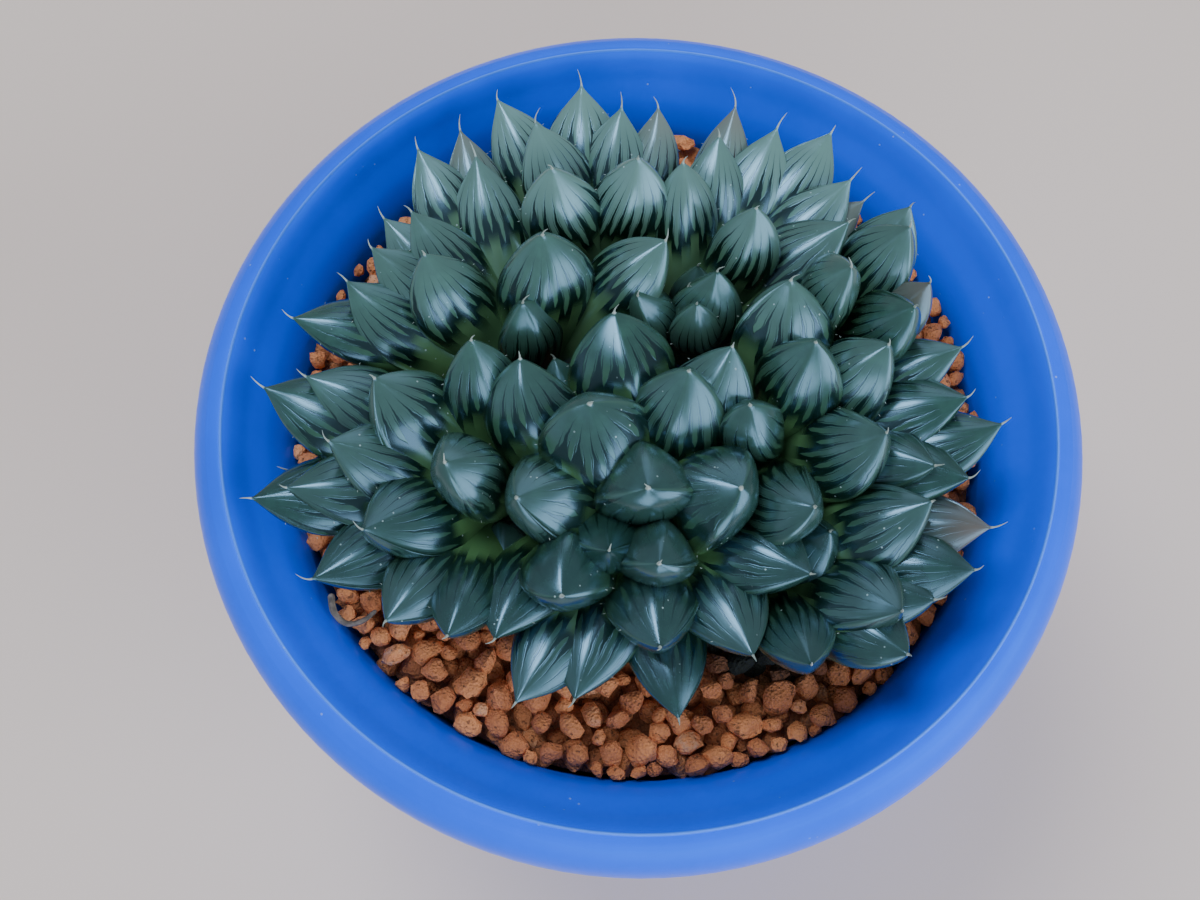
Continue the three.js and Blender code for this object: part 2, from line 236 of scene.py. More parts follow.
class GrainSettings(bpy.types.PropertyGroup):
    """Sizes and colours of the clay grains."""

    count: bpy.props.IntProperty(
        name="Grains", description="How many grains lie in the top layer", default=1400)
    smallest: bpy.props.FloatProperty(
        name="Smallest", description="Radius of the finest grain, in millimetres", default=0.95)
    largest: bpy.props.FloatProperty(
        name="Largest", description="Radius of the coarsest grain, in millimetres", default=2.15)
    light: bpy.props.FloatVectorProperty(
        name="Light clay", description="Colour of the palest grains", subtype="COLOR",
        default=(1.0, 0.34, 0.12))
    dark: bpy.props.FloatVectorProperty(
        name="Dark clay", description="Colour of the darkest grains", subtype="COLOR",
        default=(0.5, 0.14, 0.048))


class LeafSettings(bpy.types.PropertyGroup):
    """Sizes and colours of the leaves."""

    tip_height: bpy.props.FloatProperty(
        name="Tip height", description="Highest leaf tip above the rim, in millimetres",
        default=18.5)
    thickness: bpy.props.FloatProperty(
        name="Thickness", description="Leaf thickness as a share of its width", default=0.66)
    awn: bpy.props.FloatProperty(
        name="Awn", description="Length of the hair at a leaf's tip, in millimetres", default=2.1)
    window: bpy.props.FloatVectorProperty(
        name="Window", description="Colour of the translucent windows", subtype="COLOR",
        default=(0.018, 0.049, 0.03))
    body: bpy.props.FloatVectorProperty(
        name="Body", description="Colour of the green below the windows", subtype="COLOR",
        default=(0.048, 0.112, 0.04))
    vein: bpy.props.FloatVectorProperty(
        name="Vein", description="Colour of the veins between the windows", subtype="COLOR",
        default=(0.002, 0.01, 0.005))


class RootSettings(bpy.types.PropertyGroup):
    """The dried root on the grains."""

    radius: bpy.props.FloatProperty(
        name="Radius", description="Radius at its thick end, in millimetres", default=0.55)
    colour: bpy.props.FloatVectorProperty(
        name="Colour", description="Grey-brown of the dry bark", subtype="COLOR",
        default=(0.19, 0.14, 0.11))


class StageSettings(bpy.types.PropertyGroup):
    """Floor, light and camera."""

    floor: bpy.props.FloatVectorProperty(
        name="Floor", description="Colour of the pale floor", subtype="COLOR",
        default=(0.84, 0.615, 0.51))
    sky: bpy.props.FloatProperty(
        name="Sky", description="Strength of the soft light from all round", default=0.35)
    lamp: bpy.props.FloatProperty(
        name="Lamp", description="Power of the softbox overhead, in watts", default=4.5)
    lens: bpy.props.FloatProperty(
        name="Lens", description="Focal length in millimetres", default=42.0)


class Wire:
    """A shader socket that takes part in Python sums; each sum adds a Math node."""

    def __init__(self, paint, socket):
        self.paint = paint
        self.socket = socket

    def math(self, operation, *others):
        inputs = {index: value for index, value in enumerate((self, *others))}
        return self.paint.node("ShaderNodeMath", {"operation": operation}, inputs)

    def __add__(self, other):
        return self.math("ADD", other)

    __radd__ = __add__

    def __sub__(self, other):
        return self.math("SUBTRACT", other)

    def __rsub__(self, other):
        return self.paint.node("ShaderNodeMath", {"operation": "SUBTRACT"}, {0: other, 1: self})

    def __mul__(self, other):
        return self.math("MULTIPLY", other)

    __rmul__ = __mul__

    def __truediv__(self, other):
        return self.math("DIVIDE", other)

    def __pow__(self, other):
        return self.math("POWER", other)

    def fraction(self):
        return self.math("FRACT")

    def size(self):
        return self.math("ABSOLUTE")

    def at_most(self, other):
        return self.math("MINIMUM", other)

    def at_least(self, other):
        return self.math("MAXIMUM", other)

    def held(self):
        """Kept between 0 and 1."""
        return self.at_least(0.0).at_most(1.0)

    def step(self, low, high):
        """0 below low, 1 above high, smooth between."""
        return self.paint.node(
            "ShaderNodeMapRange",
            {"interpolation_type": "SMOOTHSTEP"},
            {"Value": self, "From Min": low, "From Max": high, "To Min": 0.0, "To Max": 1.0},
        )


class Paint:
    """One procedural material, written node by node."""

    def __init__(self, name):
        old = bpy.data.materials.get(name)
        if old:
            bpy.data.materials.remove(old)
        self.material = bpy.data.materials.new(name)
        self.material.use_nodes = True
        self.tree = self.material.node_tree
        self.shader = self.tree.nodes["Principled BSDF"]

    def node(self, kind, settings=None, inputs=None, output=0):
        """Adds a node, sets it up, feeds its sockets and returns one output."""
        made = self.tree.nodes.new(kind)
        for key, value in (settings or {}).items():
            setattr(made, key, value)
        self.feed(made, inputs or {})
        return Wire(self, made.outputs[output])

    def feed(self, made, inputs):
        for key, value in inputs.items():
            socket = made.inputs[key]
            if isinstance(value, Wire):
                self.tree.links.new(value.socket, socket)
            elif hasattr(value, "__len__") and len(value) == 3 and socket.type == "RGBA":
                socket.default_value = (*value, 1.0)
            else:
                socket.default_value = value

    def place(self):
        return self.node("ShaderNodeTexCoord", output=3)

    def read(self, name):
        return self.node("ShaderNodeAttribute", {"attribute_name": name}, output=2)

    def cloud(self, where, scale, detail=3.0, rough=0.5):
        return self.node(
            "ShaderNodeTexNoise", None,
            {"Vector": where, "Scale": scale, "Detail": detail, "Roughness": rough})

    def cells(self, where, scale):
        return self.node("ShaderNodeTexVoronoi", None, {"Vector": where, "Scale": scale})

    def stretch(self, where, factors):
        return self.node("ShaderNodeVectorMath", {"operation": "MULTIPLY"},
                         {0: where, 1: factors})

    def blend(self, amount, first, second):
        return self.node(
            "ShaderNodeMix", {"data_type": "RGBA", "clamp_factor": True},
            {0: amount, 6: first, 7: second}, 2)

    def bump(self, height, strength, distance):
        return self.node("ShaderNodeBump", None,
                         {"Height": height, "Strength": strength, "Distance": distance})

    def surface(self, **sockets):
        self.feed(self.shader, {key.replace("_", " "): value for key, value in sockets.items()})
        return self.material


def paint_plastic(settings):
    """Blue moulded plastic, satin, with dust, fine rubbed streaks and a painted highlight along the
    parting seam on the crown.
    """
    paint = Paint("blue_plastic")
    place = paint.place()
    blue = tuple(settings.colour)
    pale = (0.06, 0.26, 1.0)
    deep = tuple(value * 0.9 for value in blue)
    mottle = paint.cloud(place, 55.0, 4.0, 0.6)
    colour = paint.blend(mottle.step(0.3, 0.72), deep, blue)
    streak = paint.cloud(paint.stretch(place, (160.0, 160.0, 1100.0)), 1.0, 4.0, 0.7)
    rub = streak.step(0.56, 0.82) * paint.cloud(place, 33.0, 2.0).step(0.45, 0.65)
    colour = paint.blend(rub * 0.22, colour, pale)
    speck = paint.cells(place, 520.0)
    rare = paint.cloud(place, 130.0, 1.0).step(0.56, 0.64)
    dust = (1.0 - speck.step(0.05, 0.12)) * rare
    colour = paint.blend(dust * 0.5, colour, (0.4, 0.5, 0.66))
    radial = paint.node("ShaderNodeVectorMath", {"operation": "LENGTH"},
                        {0: paint.stretch(place, (1.0, 1.0, 0.0))}, 1)
    # Painted highlight: a lighter blue line along the parting seam on the crown.
    seam_highlight = 1.0 - ((radial - 0.0553).size()).step(0.00008, 0.0003)
    colour = paint.blend(seam_highlight * rub.at_least(0.35), colour, (0.2, 0.5, 1.0))
    rough = 0.28 + 0.1 * mottle + 0.16 * rub + 0.25 * dust
    fine = paint.cloud(place, 1100.0, 2.0)
    height = fine * 0.2 + mottle * 0.5
    return paint.surface(
        Base_Color=colour, Roughness=rough, Normal=paint.bump(height, 0.08, 0.0004),
        IOR=1.46, Specular_Tint=(0.03, 0.34, 1.0))


def paint_clay(settings):
    """Fired-clay grains: porous, matt, each grain its own tone, with painted shade in their pits
    and hollows and on the grains by the stems, the bed and the core.
    """
    paint = Paint("fired_clay")
    place = paint.place()
    shade = paint.read("shade")
    rough_cloud = paint.cloud(place, 700.0, 5.0, 0.65)
    pit = paint.cells(place, 2600.0)
    mix = (shade * 0.75 + rough_cloud * 0.7 - 0.2).held()
    colour = paint.blend(mix, tuple(settings.dark), tuple(settings.light))
    pale = (shade.step(0.86, 0.98) * rough_cloud.step(0.4, 0.6)) * 0.5
    colour = paint.blend(pale, colour, (0.62, 0.38, 0.24))
    # Painted shade: grains darker in their pits and hollows.
    hole = 1.0 - pit.step(0.04, 0.25)
    hollow = 1.0 - paint.cloud(place, 1300.0, 3.0, 0.6).step(0.3, 0.4)
    colour = paint.blend((hole * 0.25).at_least(hollow * 0.6), colour, (0.1, 0.035, 0.016))
    # Painted shade: near-black on the grains by the stems, on the bed and on the core.
    colour = paint.blend(paint.read("deep"), colour, (0.012, 0.012, 0.007))
    height = rough_cloud * 0.8 + pit * 0.5 - hollow * 0.7
    return paint.surface(
        Base_Color=colour, Roughness=0.86 + 0.1 * rough_cloud,
        Normal=paint.bump(height, 0.9, 0.0006))


def paint_leaf(settings):
    """Glossy leaf skin: blue-grey windows with rounded ends between dark veins
    that gather at the tip, deep green below them, a whitish awn, a brown stem,
    with painted sheen paling the back leaves and painted shade darkening the front ones."""
    paint = Paint("haworthia_leaf")
    place = paint.place()
    across = paint.read("across")
    along = paint.read("along")
    face = paint.read("face")
    tint = paint.read("tint")
    pale = paint.read("pale")
    wobble = paint.cloud(place, 210.0, 3.0) - 0.5
    upper = face.step(-0.25, 0.1)
    lane = across * (3.1 + tint * 1.2) + tint * 7.0 + wobble * 0.75
    number = lane.math("FLOOR")
    vein_gap = (lane.fraction() - 0.5).size() * 2.0
    fine_gap = ((lane * 2.0 + 0.5).fraction() - 0.5).size() * 2.0
    uneven = (number * 0.37 + tint * 5.0).fraction() * 0.1
    blunt = paint.read("blunt")
    reach = (0.17 + upper * (0.15 + tint * 0.05 - blunt * 0.05) + uneven
             + (1.0 - upper) * blunt * 0.14
             + (paint.cloud(place, 260.0, 1.0) - 0.5) * 0.08)
    down = ((along - 0.02) / (reach - 0.02)).held()
    width = 0.04 + down * 0.13 + (down ** 5.0) * 0.9
    vein = (vein_gap + width - 1.0).step(-0.05, 0.06) * (0.1 + 0.9 * down.step(0.2, 0.55))
    fine_width = ((down - 0.35) * 1.55).held() ** 2.0 * 0.5
    fine_vein = (fine_gap + fine_width - 1.0).step(-0.03, 0.07)
    clear = paint.read("clear")
    green = vein.at_least(fine_vein * 0.8) * (1.0 - clear * 0.85)
    green = green.at_least(down.step(0.96, 1.0))

    window = tuple(settings.window)
    bright = tuple(value * 2.0 for value in window)
    milk = paint.cloud(place, 420.0, 3.0, 0.6)
    glass = paint.blend(milk.step(0.35, 0.75) * 0.5, window, bright)
    # Painted sheen: windows paler toward the back.
    glass = paint.blend(pale * 0.85, glass, (0.18, 0.29, 0.25))
    finger = down.step(0.6, 0.92) * (1.0 - vein)
    glass = paint.blend(finger * 0.5, glass, (0.05, 0.13, 0.045))
    # Painted shade: windows darker on the leaves at the front.
    toward = paint.node("ShaderNodeSeparateXYZ", None, {0: place}, 1)
    front = 1.0 - toward.step(-0.032, 0.012)
    glass = paint.blend(front * 0.55, glass, (0.005, 0.015, 0.017))

    body = tuple(settings.body)
    lit = (0.085, 0.17, 0.05)
    depth = (along - reach).step(-0.01, 0.08)
    flesh = paint.blend(depth, tuple(settings.vein), body)
    fresh = (tint * 0.6 + paint.cloud(place, 90.0, 2.0) * 0.4 - 0.1).held()
    flesh = paint.blend(fresh * depth * 0.9, flesh, lit)
    # Painted sheen: bodies of the back leaves paler too.
    flesh = paint.blend(pale * depth * 0.8, flesh, (0.12, 0.2, 0.115))
    colour = paint.blend(green, glass, flesh)

    edge = across.size().step(0.95, 1.0) * (1.0 - along.step(0.3, 0.5))
    colour = paint.blend(edge * 0.25, colour, (0.08, 0.15, 0.09))
    rust = paint.read("rust")
    colour = paint.blend(rust * (1.0 - along.step(0.03, 0.36)) * 0.7, colour, (0.2, 0.12, 0.095))
    speck = paint.cells(place, 700.0)
    few = paint.cloud(place, 210.0, 1.0).step(0.55, 0.62)
    dust = (1.0 - speck.step(0.04, 0.11)) * few
    colour = paint.blend(dust * 0.7, colour, (0.5, 0.56, 0.52))
    awn = 1.0 - along.step(-0.02, 0.002)
    colour = paint.blend(awn * 0.85, colour, (0.5, 0.5, 0.42))

    stem = along.step(1.2, 1.6)
    colour = paint.blend(stem, colour, (0.03, 0.022, 0.012))

    rough = 0.2 + 0.1 * milk + 0.3 * dust + 0.2 * awn + 0.6 * stem
    height = (1.0 - green) * 0.5 + milk * 0.1
    return paint.surface(
        Base_Color=colour, Roughness=rough, IOR=1.9, Specular_Tint=(0.46, 0.75, 1.0),
        Coat_Weight=0.12, Coat_Roughness=0.14,
        Normal=paint.bump(height, 0.3, 0.0002))


def paint_root(settings):
    """Dry grey-brown bark with lengthwise fibres."""
    paint = Paint("dried_root_bark")
    place = paint.place()
    fibre = paint.cloud(paint.stretch(place, (900.0, 900.0, 3000.0)), 1.0, 4.0, 0.6)
    brown = tuple(settings.colour)
    colour = paint.blend(fibre.step(0.3, 0.7), tuple(value * 0.45 for value in brown),
                         tuple(value * 1.5 for value in brown))
    return paint.surface(
        Base_Color=colour, Roughness=0.75 + 0.2 * fibre,
        Normal=paint.bump(fibre, 0.6, 0.0002))


def paint_floor(settings):
    """Plain pale matt floor."""
    paint = Paint("pale_floor")
    place = paint.place()
    cloud = paint.cloud(place, 9.0, 4.0)
    base = tuple(settings.floor)
    colour = paint.blend(cloud, tuple(value * 0.96 for value in base), base)
    return paint.surface(Base_Color=colour, Roughness=0.85 + 0.05 * cloud)


def chance(number):
    """The same settled draw between 0 and 1 that the solids use."""
    wave = math.sin(number * 12.9898 + 4.1) * 43758.5453
    return wave - math.floor(wave)


def fair_points(points, steps):
    """A smooth open line through the given points, as (x, y) or (x, y, z)."""
    ends = [2 * points[0] - points[1], *points, 2 * points[-1] - points[-2]]
    line = []
    for index in range(1, len(ends) - 2):
        a, b, c, d = ends[index - 1:index + 3]
        for step in range(steps):
            t = step / steps
            line.append(0.5 * (2 * b + (c - a) * t + (2 * a - 5 * b + 4 * c - d) * t ** 2
                               + (3 * b - 3 * c + d - a) * t ** 3))
    line.append(points[-1])
    return line


def finish_piece(shape, name, materials, node, sharp=None, smooth=0):
    """Turns a bmesh in millimetres into a finished piece that stands for its node."""
    bmesh.ops.scale(shape, vec=(MM, MM, MM), verts=shape.verts)
    for face in shape.faces:
        face.smooth = True
    if sharp is not None:
        for edge in shape.edges:
            if len(edge.link_faces) == 2 and edge.calc_face_angle(0.0) > math.radians(sharp):
                edge.smooth = False
    mesh = bpy.data.meshes.new(name)
    shape.to_mesh(mesh)
    shape.free()
    for material in materials:
        mesh.materials.append(material)
    piece = bpy.data.objects.new(name, mesh)
    bpy.context.collection.objects.link(piece)
    if smooth:
        finer = piece.modifiers.new("Rounded", "SUBSURF")
        finer.levels = smooth
        finer.render_levels = smooth
    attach(piece, BODY)
    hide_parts(node)
    return piece


def turn_profile(shape, profile, steps):
    """Spins a line of (radius, z) points once round the pot's axis."""
    verts = [shape.verts.new((radius, 0.0, z)) for radius, z in profile]
    edges = [shape.edges.new(pair) for pair in zip(verts, verts[1:])]
    bmesh.ops.spin(shape, geom=[*verts, *edges], cent=(0, 0, 0), axis=(0, 0, 1),
                   angle=2 * math.pi, steps=steps, use_merge=True, use_duplicate=False)
    bmesh.ops.remove_doubles(shape, verts=shape.verts, dist=0.0005)
    bmesh.ops.dissolve_degenerate(shape, dist=0.0005, edges=shape.edges)
    bmesh.ops.recalc_face_normals(shape, faces=shape.faces)


def pot_profile(height, rim, foot):
    """The pot's outline, inside from the floor up, over the rim and down to the foot."""
    top = height
    inside = fair_points([Vector(point) for point in (
        (37.6, 7.0), (41.0, 32.0), (44.4, 57.0), (47.4, top - 14.6), (48.0, top - 11.4),
        (48.75, top - 8.9), (50.1, top - 6.5), (51.4, top - 5.0), (52.6, top - 3.6),
        (53.55, top - 2.1), (54.35, top - 0.95), (54.95, top - 0.32))], 3)
    ridge = [Vector(point) for point in (
        (55.12, top - 0.2), (55.2, top - 0.04), (55.3, top), (55.4, top - 0.04),
        (55.48, top - 0.2))]
    crown = fair_points([Vector(point) for point in (
        (55.75, top - 0.22), (56.5, top - 0.42), (57.4, top - 0.85))], 3)
    roll = fair_points([Vector(point) for point in (
        (57.55, top - 0.98), (58.4, top - 1.75), (59.2, top - 2.8), (59.75, top - 4.1),
        (rim - 0.03, top - 5.6), (rim - 0.03, top - 8.2))], 4)
    lip = [Vector(point) for point in (
        (rim - 0.08, top - 8.6), (rim - 0.35, top - 8.9), (rim - 0.8, top - 9.0),
        (rim - 1.25, top - 8.9), (rim - 1.5, top - 8.55))]
    under = fair_points([Vector(point) for point in (
        (rim - 1.6, top - 7.6), (rim - 1.9, top - 4.6), (rim - 3.3, top - 2.7),
        (rim - 4.9, top - 2.1), (rim - 6.6, top - 3.9), (rim - 8.9, top - 7.6),
        (rim - 10.2, top - 10.6), (rim - 10.7, top - 14.4))], 3)
    wall = [Vector(point) for point in (
        (48.6, top - 20.0), (46.2, 56.0), (43.4, 28.0), (foot + 0.12, 2.2))]
    ring = [Vector(point) for point in (
        (foot, 1.2), (foot - 0.12, 0.55), (foot - 0.45, 0.14), (foot - 0.9, 0.0),
        (foot - 2.6, 0.0), (foot - 3.0, 0.14), (foot - 3.3, 0.5), (foot - 3.4, 1.0),
        (foot - 3.55, 2.3), (foot - 3.9, 2.6), (foot - 6.0, 2.6), (0.0, 2.6))]
    floor = [Vector(point) for point in (
        (0.0, 5.0), (35.2, 5.0), (36.4, 5.2), (37.2, 5.9))]
    return [*floor, *inside, *ridge, *crown, *roll, *lip, *under, *wall, *ring]


def bore_floor(piece, holes):
    """Cuts round drain holes, given as x, y and radius, through the pot's floor."""
    shape = bmesh.new()
    for x, y, radius in holes:
        made = bmesh.ops.create_cone(shape, cap_ends=True, segments=32, radius1=radius * MM,
                                     radius2=radius * MM, depth=8 * MM)
        bmesh.ops.translate(shape, verts=made["verts"], vec=(x * MM, y * MM, 3.8 * MM))
    mesh = bpy.data.meshes.new("drain_cutter")
    shape.to_mesh(mesh)
    shape.free()
    cutter = bpy.data.objects.new("drain_cutter", mesh)
    bpy.context.collection.objects.link(cutter)
    bore = piece.modifiers.new("Drain", "BOOLEAN")
    bore.operation = "DIFFERENCE"
    bore.solver = "EXACT"
    bore.object = cutter
    graph = bpy.context.evaluated_depsgraph_get()
    cut = bpy.data.meshes.new_from_object(piece.evaluated_get(graph))
    piece.modifiers.remove(bore)
    piece.data = cut
    cut.name = piece.name
    bpy.data.objects.remove(cutter)


class HAWORTHIA_OT_pot(bpy.types.Operator):
    """Turns the pot and bores its drain holes"""

    bl_idname = "haworthia.pot"
    bl_label = "Pot"

    def execute(self, context):
        settings = context.scene.haworthia_pot
        shape = bmesh.new()
        profile = pot_profile(settings.height, settings.rim_radius, settings.foot_radius)
        turn_profile(shape, profile, POT_STEPS)
        piece = finish_piece(shape, "blue_pot", [paint_plastic(settings)], "pot",
                             sharp=38)
        holes = [(0.0, 0.0, MIDDLE_DRAIN)]
        for index in range(6):
            angle = index * math.pi / 3
            holes.append((RING_REACH * math.cos(angle), RING_REACH * math.sin(angle),
                          RING_DRAIN))
        bore_floor(piece, holes)
        return {"FINISHED"}


def stem_gap(x, y):
    return min(math.hypot(x - stem[0], y - stem[1]) for stem, _ in HEADS.values())


def scatter_grains(settings, draw):
    """Picks a place and a size for each top grain, coarse ones first, none through another."""
    grains = []
    tries = settings.count * 6
    span = settings.largest - settings.smallest
    for index in range(tries):
        radius = settings.smallest + span * (1 - index / tries) ** 1.5 * draw.uniform(0.5, 1.0)
        at = (GRAIN_REACH - radius) * math.sqrt(draw.random())
        angle = draw.uniform(0, 2 * math.pi)
        x = at * math.cos(angle)
        y = at * math.sin(angle)
        if all(math.hypot(x - gx, y - gy) > (radius + gr) * 0.86 for gx, gy, gr in grains):
            grains.append((x, y, radius))
        if len(grains) >= settings.count:
            break
    return grains


def bed_grains(pitch, draw):
    """Places for the even bed of grains that shows between the top ones."""
    rows = int(48 / (pitch * 0.87)) + 1
    places = []
    for row in range(-rows, rows + 1):
        for column in range(-rows, rows + 1):
            x = (column + 0.5 * (row % 2)) * pitch + draw.uniform(-0.7, 0.7)
            y = row * pitch * 0.87 + draw.uniform(-0.7, 0.7)
            radius = pitch * draw.uniform(0.48, 0.6)
            if math.hypot(x, y) < GRAIN_REACH - radius:
                places.append((x, y, radius))
    return places


def add_grain(shape, template, place, radius, layers, draw, sunk=0.0):
    """Adds one broken lump: a round one, cut flat on several sides and roughened."""
    first = len(shape.verts)
    shape.from_mesh(template)
    shape.verts.ensure_lookup_table()
    shift = Vector((draw.uniform(-50, 50), draw.uniform(-50, 50), draw.uniform(-50, 50)))
    stretch = Vector((draw.uniform(0.9, 1.25), draw.uniform(0.82, 1.1), draw.uniform(0.75, 1.0)))
    turn = Matrix.Rotation(draw.uniform(0, 6.28), 3, "Z") @ Matrix.Rotation(
        draw.uniform(-0.9, 0.9), 3, "X")
    cuts = []
    for _ in range(10):
        cut = Vector((draw.uniform(-1, 1), draw.uniform(-1, 1), draw.uniform(-1, 1)))
        cuts.append((cut.normalized(), draw.uniform(0.66, 0.94)))
    shade = draw.random()
    # Painted shade: more the nearer the grain lies to a stem, never less than sunk.
    deep = min(max((SHADED - stem_gap(place.x, place.y)) / 4, sunk), 1)
    for vert in shape.verts[first:]:
        way = vert.co.normalized()
        reach = 1.12
        for cut, depth in cuts:
            toward = way.dot(cut)
            if toward > 0.3:
                reach = min(reach, depth / toward)
        reach *= 1 + 0.2 * noise.noise(way * 1.9 + shift) + 0.12 * noise.noise(way * 4.5 + shift)
        vert.co = place + turn @ (way * reach * stretch * radius)
        spread = math.hypot(vert.co.x, vert.co.y)
        if spread > WALL_REACH:
            vert.co.x *= WALL_REACH / spread
            vert.co.y *= WALL_REACH / spread
        vert[layers[0]] = shade
        vert[layers[1]] = deep


class HAWORTHIA_OT_grains(bpy.types.Operator):
    """Fills the pot: a core of clay, a bed of grains and a loose top layer"""

    bl_idname = "haworthia.grains"
    bl_label = "Clay grains"

    def execute(self, context):
        settings = context.scene.haworthia_grains
        top = context.scene.haworthia_pot.height
        draw = random.Random(31)
        core = bmesh.new()
        core.verts.layers.float.new("shade")
        shadow = core.verts.layers.float.new("deep")
        turn_profile(core, [(0.0, 5.35), (36.5, 5.35), (46.9, top - 14.6),
                            (46.8, top - 13.6), (46.2, top - 13.1), (0.0, top - 13.1)], 96)
        for vert in core.verts:
            vert[shadow] = CORE_SHADE
        filling = bpy.data.meshes.new("core")
        core.to_mesh(filling)
        core.free()
        lump = bmesh.new()
        lump.verts.layers.float.new("shade")
        lump.verts.layers.float.new("deep")
        bmesh.ops.create_icosphere(lump, subdivisions=2, radius=1.0)
        template = bpy.data.meshes.new("grain")
        lump.to_mesh(template)
        lump.free()
        shape = bmesh.new()
        shape.from_mesh(filling)
        layers = [shape.verts.layers.float[name] for name in ("shade", "deep")]
        for x, y, radius in bed_grains(settings.largest * 1.6, draw):
            low = BED_DEPTHS[0] if stem_gap(x, y) < BY_STEM else BED_DEPTHS[1]
            place = Vector((x, y, top - low - draw.uniform(0.0, 0.5)))
            add_grain(shape, template, place, radius, layers, draw, sunk=BED_SHADE)
        for x, y, radius in scatter_grains(settings, draw):
            low = TOP_DEPTHS[0] if stem_gap(x, y) < BY_STEM else TOP_DEPTHS[1]
            crest = top - low - draw.uniform(0.0, 0.8)
            if radius < 1.3:
                crest -= draw.uniform(0.3, 1.2)
            place = Vector((x, y, crest - radius * 0.9))
            add_grain(shape, template, place, radius, layers, draw)
        bpy.data.meshes.remove(template)
        bpy.data.meshes.remove(filling)
        finish_piece(shape, "clay_grains", [paint_clay(settings)], "soil",
                     sharp=48)
        return {"FINISHED"}


class HAWORTHIA_OT_dried_root(bpy.types.Operator):
    """Lays the curled dry root on the grains at the left"""

    bl_idname = "haworthia.dried_root"
    bl_label = "Dried root"

    def execute(self, context):
        settings = context.scene.haworthia_root
        height = context.scene.haworthia_pot.height - 7.7
        route = [(-40.5, -24.2, -0.1), (-40.0, -26.6, 0.12), (-38.3, -28.2, 0.0),
                 (-36.2, -28.0, 0.1), (-34.4, -26.4, -0.1)]
        line = fair_points([Vector((x, y, height + z)) for x, y, z in route], 7)
        shape = bmesh.new()
        tube = Rings(shape, 10)
        for index, point in enumerate(line):
            ahead = line[min(index + 1, len(line) - 1)] - line[max(index - 1, 0)]
            side = ahead.cross(Vector((0, 0, 1))).normalized()
            rise = side.cross(ahead).normalized()
            share = index / (len(line) - 1)
            knot = 1 + 0.22 * noise.noise(Vector((index * 0.6, 3.0, 0.0)))
            radius = settings.radius * (1.0 - 0.45 * share) * knot
            radius *= 0.55 if index in (0, len(line) - 1) else 1.0
            corners = []
            for corner in range(10):
                angle = corner * math.pi / 5
                ripple = 1 + 0.12 * math.cos(angle * 3 + index * 0.5)
                corners.append(point + (side * math.cos(angle) + rise * math.sin(angle))
                               * radius * ripple)
            tube.add(corners)
        tube.close()
        finish_piece(shape, "dried_root_curl", [paint_root(settings)], "dried_root",
                     smooth=1)
        return {"FINISHED"}


class Rings:
    """A closed skin that grows ring by ring: a circle, extruded and set in place."""

    def __init__(self, shape, corners):
        self.shape = shape
        self.corners = corners
        self.mark = shape.verts.layers.int.get("corner") or shape.verts.layers.int.new("corner")
        self.verts = None
        self.edges = None
        self.rings = []

    def add(self, places):
        if self.verts is None:
            made = bmesh.ops.create_circle(self.shape, segments=self.corners, radius=1.0)
            self.verts = made["verts"]
            for index, vert in enumerate(self.verts):
                vert[self.mark] = index
            self.edges = list({edge for vert in self.verts for edge in vert.link_edges})
        else:
            made = bmesh.ops.extrude_edge_only(self.shape, edges=self.edges)["geom"]
            fresh = [item for item in made if isinstance(item, bmesh.types.BMVert)]
            self.verts = sorted(fresh, key=lambda vert: vert[self.mark])
            own = set(self.verts)
            self.edges = [item for item in made if isinstance(item, bmesh.types.BMEdge)
                          and item.verts[0] in own and item.verts[1] in own]
        for vert, place in zip(self.verts, places):
            vert.co = place
        self.rings.append(self.verts)
        return self.verts

    def close(self):
        """Caps both ends and turns every face outwards."""
        for ring in (self.rings[0], self.rings[-1]):
            own = set(ring)
            edges = [edge for vert in ring for edge in vert.link_edges
                     if edge.verts[0] in own and edge.verts[1] in own]
            bmesh.ops.edgeloop_fill(self.shape, edges=list(set(edges)))
        faces = list({face for ring in self.rings for vert in ring for face in vert.link_faces})
        bmesh.ops.recalc_face_normals(self.shape, faces=faces)


